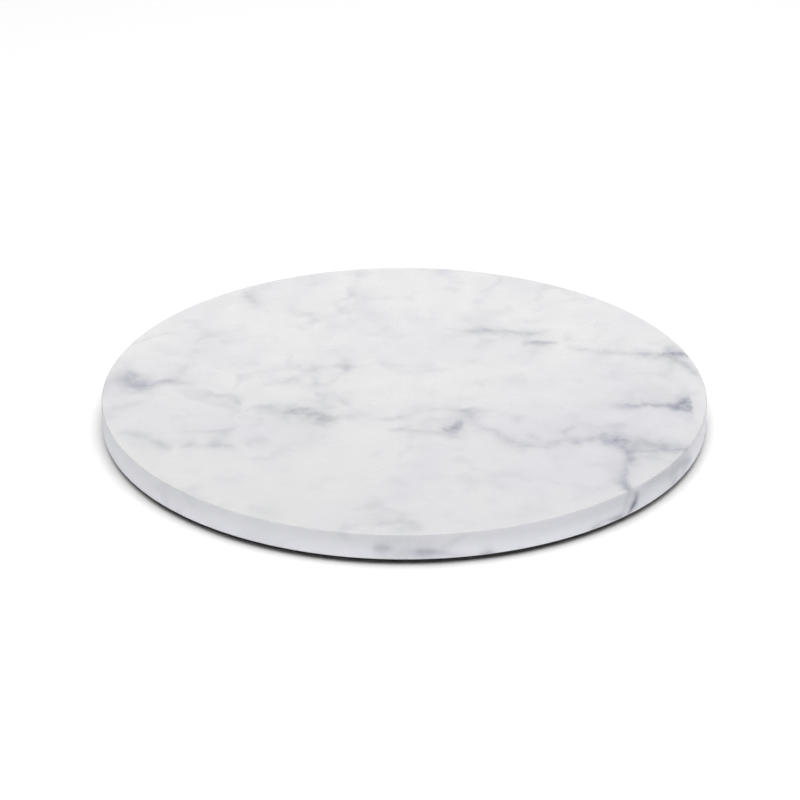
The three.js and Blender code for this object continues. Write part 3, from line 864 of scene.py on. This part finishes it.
def loading_plug():
    """A threaded set screw, with a hexagon socket outside and a cupped point inside."""
    start = PITCH_RADIUS + GROOVE_RADIUS + PLUG_GAP
    length = OUTER_HIGH.x - PLUG_GAP - start
    cup, edge = 1.2 * MM, 0.3 * MM
    thread_depth, thread_pitch = 0.28 * MM, 0.7 * MM
    socket_radius, socket_depth = 1.1 * MM, 1.5 * MM
    bevel_depth, bevel_flare = 0.2 * MM, 1.36
    past = 0.5 * MM
    profile = [
        (0, edge), (cup - edge, edge), (cup, 0), (PLUG_RADIUS - edge, 0),
        *thread(PLUG_RADIUS, thread_depth, thread_pitch, edge, length - edge),
        (PLUG_RADIUS - edge, length), (0, length),
    ]
    plug = turned("loading_plug_screw", profile, 40, sharp=50)
    socket = prism("socket", circle(socket_radius, 6), length - socket_depth, length + past)
    mouth = circle(socket_radius, 24)
    bevel = prism("bevel", mouth, length - bevel_depth, length + bevel_depth, bevel_flare)
    plug = placed(cut(plug, [socket, bevel], 50), radial_matrix(start, PLUG_TURN, BALL_MIDDLE.z))
    add_piece(plug, "zinc_steel", "base", "loading_plug", material=zinc_steel())


def ball_cage():
    """A nylon band with a round pocket for each ball, open at the top so that it snaps over them."""
    inner, outer = PITCH_RADIUS - CAGE_HALF_WIDTH, PITCH_RADIUS + CAGE_HALF_WIDTH
    low, high = CAGE_LOW.z, CAGE_HIGH.z
    corners = [(inner, low), (outer, low), (outer, high), (inner, high)]
    band = turned("ball_cage_band", softened(corners, CAGE_SOFTENING, 4), 360, closed=True)
    past = 2 * MM
    cutters = []
    for i in range(len(BALLS)):
        turn = 2 * math.pi * (i + 0.5) / len(BALLS)
        pocket = prism("pocket", circle(CAGE_POCKET_RADIUS, 40), -past, past)
        cutters.append(placed(pocket, radial_matrix(PITCH_RADIUS, turn, BALL_MIDDLE.z)))
    add_piece(even_normals(cut(band, cutters)), "nylon", "ball_train", "ball_cage", material=moulded_nylon())


def balls():
    """The balls, each turned its own way, so that no two show the same scuffs."""
    build = bmesh.new()
    bmesh.ops.create_icosphere(build, subdivisions=4, radius=BALL_RADIUS)
    mesh = bpy.data.meshes.new("bearing_ball")
    build.to_mesh(mesh)
    build.free()
    mesh.shade_smooth()
    material = ball_steel()
    rolls = random.Random(24)
    for node in BALLS:
        low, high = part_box(node)
        ball = mesh_object(f"bearing_{node}", mesh.copy())
        ball.location = (low + high) / 2
        ball.rotation_euler = Euler([rolls.uniform(0, 2 * math.pi) for _ in range(3)])
        add_piece(ball, "ball_steel", "ball_train", node, material=material)


def rubber_feet():
    """Discs with a rounded lip, two grip ridges with a groove between them, and a stepped hole."""
    top = FOOT_HIGH.z
    lip = 0.5 * MM
    hole_edge = 0.2 * MM
    groove_low, groove_high, groove_depth = 3.35 * MM, 3.85 * MM, 0.15 * MM
    slope = 0.1 * MM
    edge, waist = FOOT_RADIUS - lip, FOOT_RADIUS - 0.08 * MM
    waist_low = top - 0.95 * MM
    profile = [
        (HEAD_HOLE_RADIUS, hole_edge), (HEAD_HOLE_RADIUS + 0.15 * MM, 0),
        (groove_low, 0), (groove_low + slope, groove_depth),
        (groove_high - slope, groove_depth), (groove_high, 0),
        (edge - slope, 0), *arc(edge, lip, lip, -90, 0, 6),
        (FOOT_RADIUS, waist_low), (waist, waist_low + slope), (waist, top - slope), (waist - slope, top),
        (SCREW_HOLE_RADIUS, top), (SCREW_HOLE_RADIUS, SCREW_HEAD_TOP), (HEAD_HOLE_RADIUS, SCREW_HEAD_TOP),
    ]
    material = moulded_rubber()
    for i, (turn, place) in enumerate(foot_places(), 1):
        foot = turned(f"moulded_foot_{i}", profile, 64, closed=True, sharp=40)
        placed(foot, Matrix.Rotation(turn, 4, "Z"))
        foot.location = place
        add_piece(even_normals(foot), "rubber", "base", f"rubber_foot_{i}", material=material)


def foot_screws():
    """Pan-head screws that point up, with a tapered cross recess and a thread."""
    low, high = SCREW_LOW.z, SCREW_HIGH.z
    head = SCREW_HEAD_RADIUS
    crown = ((0, 0), (0.55, 0.02), (0.8, 0.12), (0.93, 0.32), (1, 0.62))  # shares of the radius, and mm up
    bevel, tip = 0.1 * MM, 0.4 * MM
    thread_depth, thread_pitch = 0.25 * MM, 0.6 * MM
    profile = [
        *((head * share, low + rise * MM) for share, rise in crown),
        (head, SCREW_HEAD_TOP - bevel), (head - bevel, SCREW_HEAD_TOP),
        *thread(SCREW_RADIUS, thread_depth, thread_pitch, SCREW_HEAD_TOP, high - tip),
        (SCREW_RADIUS * 0.6, high), (0, high),
    ]
    across, along = 0.35 * MM, 1.45 * MM
    recess_depth, recess_taper = 0.7 * MM, 0.62
    past = 0.2 * MM
    cross = [
        (across, across), (along, across), (along, -across), (across, -across), (across, -along),
        (-across, -along), (-across, -across), (-along, -across), (-along, across), (-across, across),
        (-across, along), (across, along),
    ][::-1]
    material = zinc_steel()
    turns = random.Random(6)
    for i, (_, place) in enumerate(foot_places(), 1):
        screw = turned(f"pan_head_screw_{i}", profile, 36, sharp=50)
        recess = prism("recess", cross, low - past, low + recess_depth, recess_taper)
        screw = cut(screw, [recess], 50)
        placed(screw, Matrix.Rotation(turns.uniform(0, math.pi), 4, "Z"))
        screw.location = place
        add_piece(screw, "zinc_steel", "base", f"foot_screw_{i}", material=material)


# ---------------------------------------------------------------- stage, lights and camera


def stage():
    """A pale floor that turns into a white sweep well away from the object."""
    bpy.ops.mesh.primitive_plane_add(size=FLOOR_SIZE)
    floor = bpy.context.object
    floor.name = "floor"
    shader = Shader("floor", Roughness=0.9, Emission_Color=(1, 1, 1, 1))
    away = reach_of(shader, shader.node("ShaderNodeTexCoord").outputs["Object"])
    sweep = shader.spread(away, SWEEP_START, SWEEP_END)
    texture = shader.noise(object_place(shader), 3, 3)
    paper = shader.mix(texture, srgb(242, 242, 242), srgb(244, 244, 244))
    shader.set(Base_Color=shader.mix(sweep, paper, (0, 0, 0, 1)), Emission_Strength=sweep)
    floor.data.materials.append(shader.material)


def soft_light(name, place, size, power):
    """A rectangular light that faces the object. Its place and its size are in metres."""
    light = bpy.data.lights.new(name, "AREA")
    light.shape = "RECTANGLE"
    light.size, light.size_y = size
    light.energy = power
    made = bpy.data.objects.new(name, light)
    made.location = place
    made.rotation_euler = Vector(place).to_track_quat("Z", "Y").to_euler()
    bpy.context.scene.collection.objects.link(made)


def surroundings(light, seen):
    """White all round: dim for what it lights, bright where the camera looks past the floor."""
    world = bpy.data.worlds.new("surroundings")
    bpy.context.scene.world = world
    world.use_nodes = True
    nodes = world.node_tree.nodes
    background = nodes["Background"]
    background.inputs["Color"].default_value = (1, 1, 1, 1)
    path = nodes.new("ShaderNodeLightPath")
    strength = nodes.new("ShaderNodeMapRange")
    strength.inputs["To Min"].default_value = light
    strength.inputs["To Max"].default_value = seen
    world.node_tree.links.new(path.outputs["Is Camera Ray"], strength.inputs["Value"])
    world.node_tree.links.new(strength.outputs[0], background.inputs["Strength"])


def lights():
    """A broad light above, a weak one behind, and white all round."""
    soft_light("key", place=(0.06, -0.22, 1.6), size=(2.4, 2.4), power=51)
    soft_light("back", place=(0.1, 1.7, 0.75), size=(1.6, 0.6), power=3.4)
    surroundings(light=0.1, seen=1.0)
    bpy.context.scene.view_settings.view_transform = "Standard"


def camera():
    """Looks close to the middle of the slab's top face, from the front and above."""
    lens = bpy.data.cameras.new("camera")
    lens.lens = LENS
    lens.sensor_width = SENSOR_WIDTH
    made = bpy.data.objects.new("camera", lens)
    back = Vector((0, -math.cos(VIEW_ELEVATION), math.sin(VIEW_ELEVATION)))
    middle = Vector((0, 0, SLAB_TOP))
    up = back.cross(Vector((1, 0, 0)))
    target = middle + AIM_RIGHT * Vector((1, 0, 0)) + AIM_UP * up
    made.location = middle + VIEW_DISTANCE * back
    made.rotation_euler = (target - made.location).to_track_quat("-Z", "Y").to_euler()
    bpy.context.scene.collection.objects.link(made)
    bpy.context.scene.camera = made


marble_slab()
bond_bead()
inner_ring()
outer_ring()
loading_plug()
ball_cage()
balls()
rubber_feet()
foot_screws()
stage()
lights()
camera()
